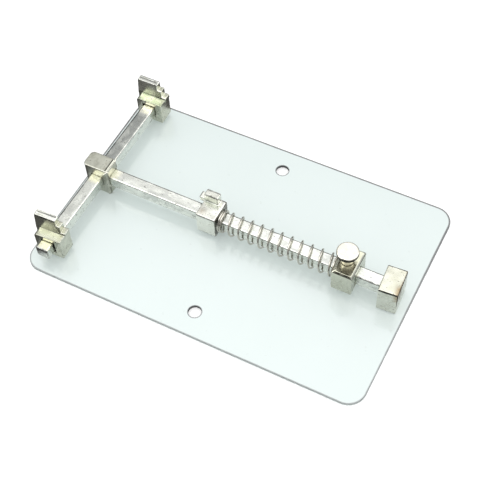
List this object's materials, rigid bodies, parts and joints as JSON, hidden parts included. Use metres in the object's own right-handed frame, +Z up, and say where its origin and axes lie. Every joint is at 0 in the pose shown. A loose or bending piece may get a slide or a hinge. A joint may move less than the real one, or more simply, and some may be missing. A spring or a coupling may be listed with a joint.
{
  "type": "circuit board holder",
  "caption": "Bench holder for small circuit boards: flat plate with a T of square bars, stepped jaws sliding on the cross bar and a sprung jaw with a screw clamp on the rail.",
  "frame": {"origin": "centre of the base plate's underside, midway between the two fixing holes", "axes": "+X along the rail, from the cross bar to the end block; +Y along the cross bar; +Z up out of the plate"},
  "size_m": [0.12, 0.08, 0.0179],
  "materials": {
    "plate_enamel": "satin pale mint-white enamel on steel sheet",
    "cast_nickel": "nickel plated casting, satin",
    "bar_nickel": "nickel plated drawn bar, bright with mottling",
    "jaw_nickel": "nickel plated casting, bright, slightly warm",
    "spring_steel": "bright spring wire",
    "screw_steel": "zinc plated steel thread",
    "head_nickel": "nickel plated turned head, soft edges"
  },
  "bodies": {
    "root": {"base_plate": "plate_enamel", "tee_block": "cast_nickel", "end_block": "jaw_nickel", "cross_bar": "bar_nickel", "rail_bar": "bar_nickel", "block_screws": "screw_steel"},
    "front_jaw": {"front_jaw": "jaw_nickel"},
    "rear_jaw": {"rear_jaw": "jaw_nickel"},
    "slider": {"clamp_slider": "jaw_nickel", "spring": "spring_steel"},
    "spring_jaw": {"spring_jaw": "jaw_nickel"},
    "screw_shank": {"thumb_screw_shank": "screw_steel"},
    "screw_head": {"thumb_screw_head": "head_nickel"}
  },
  "joints": [
    {"name": "front_jaw_slide", "type": "slide", "parent": "root", "child": "front_jaw", "axis": [0.0105, 0.9999, 0], "range_m": [-0.003, 0.0235]},
    {"name": "rear_jaw_slide", "type": "slide", "parent": "root", "child": "rear_jaw", "axis": [0.0105, 0.9999, 0], "range_m": [-0.0277, 0.0007]},
    {"name": "slider_slide", "type": "slide", "parent": "root", "child": "slider", "axis": [1, 0, 0], "range_m": [-0.031, 0.0074]},
    {"name": "spring_jaw_slide", "type": "slide", "parent": "slider", "child": "spring_jaw", "axis": [1, 0, 0], "range_m": [0, 0.025], "stiffness_N_per_m": 420, "deforming": ["spring"]},
    {"name": "screw_lift", "type": "slide", "parent": "slider", "child": "screw_shank", "axis": [0, 0, 1], "range_m": [0, 0.0014]},
    {"name": "screw_turn", "type": "hinge", "parent": "screw_shank", "child": "screw_head", "pos_m": [0.038, 0, 0.0155], "axis": [0, 0, 1], "range_deg": [0, 720]}
  ],
  "couplings": [
    {"joint": "screw_turn", "follows": "screw_lift", "rad_per_m": 8975.9}
  ]
}
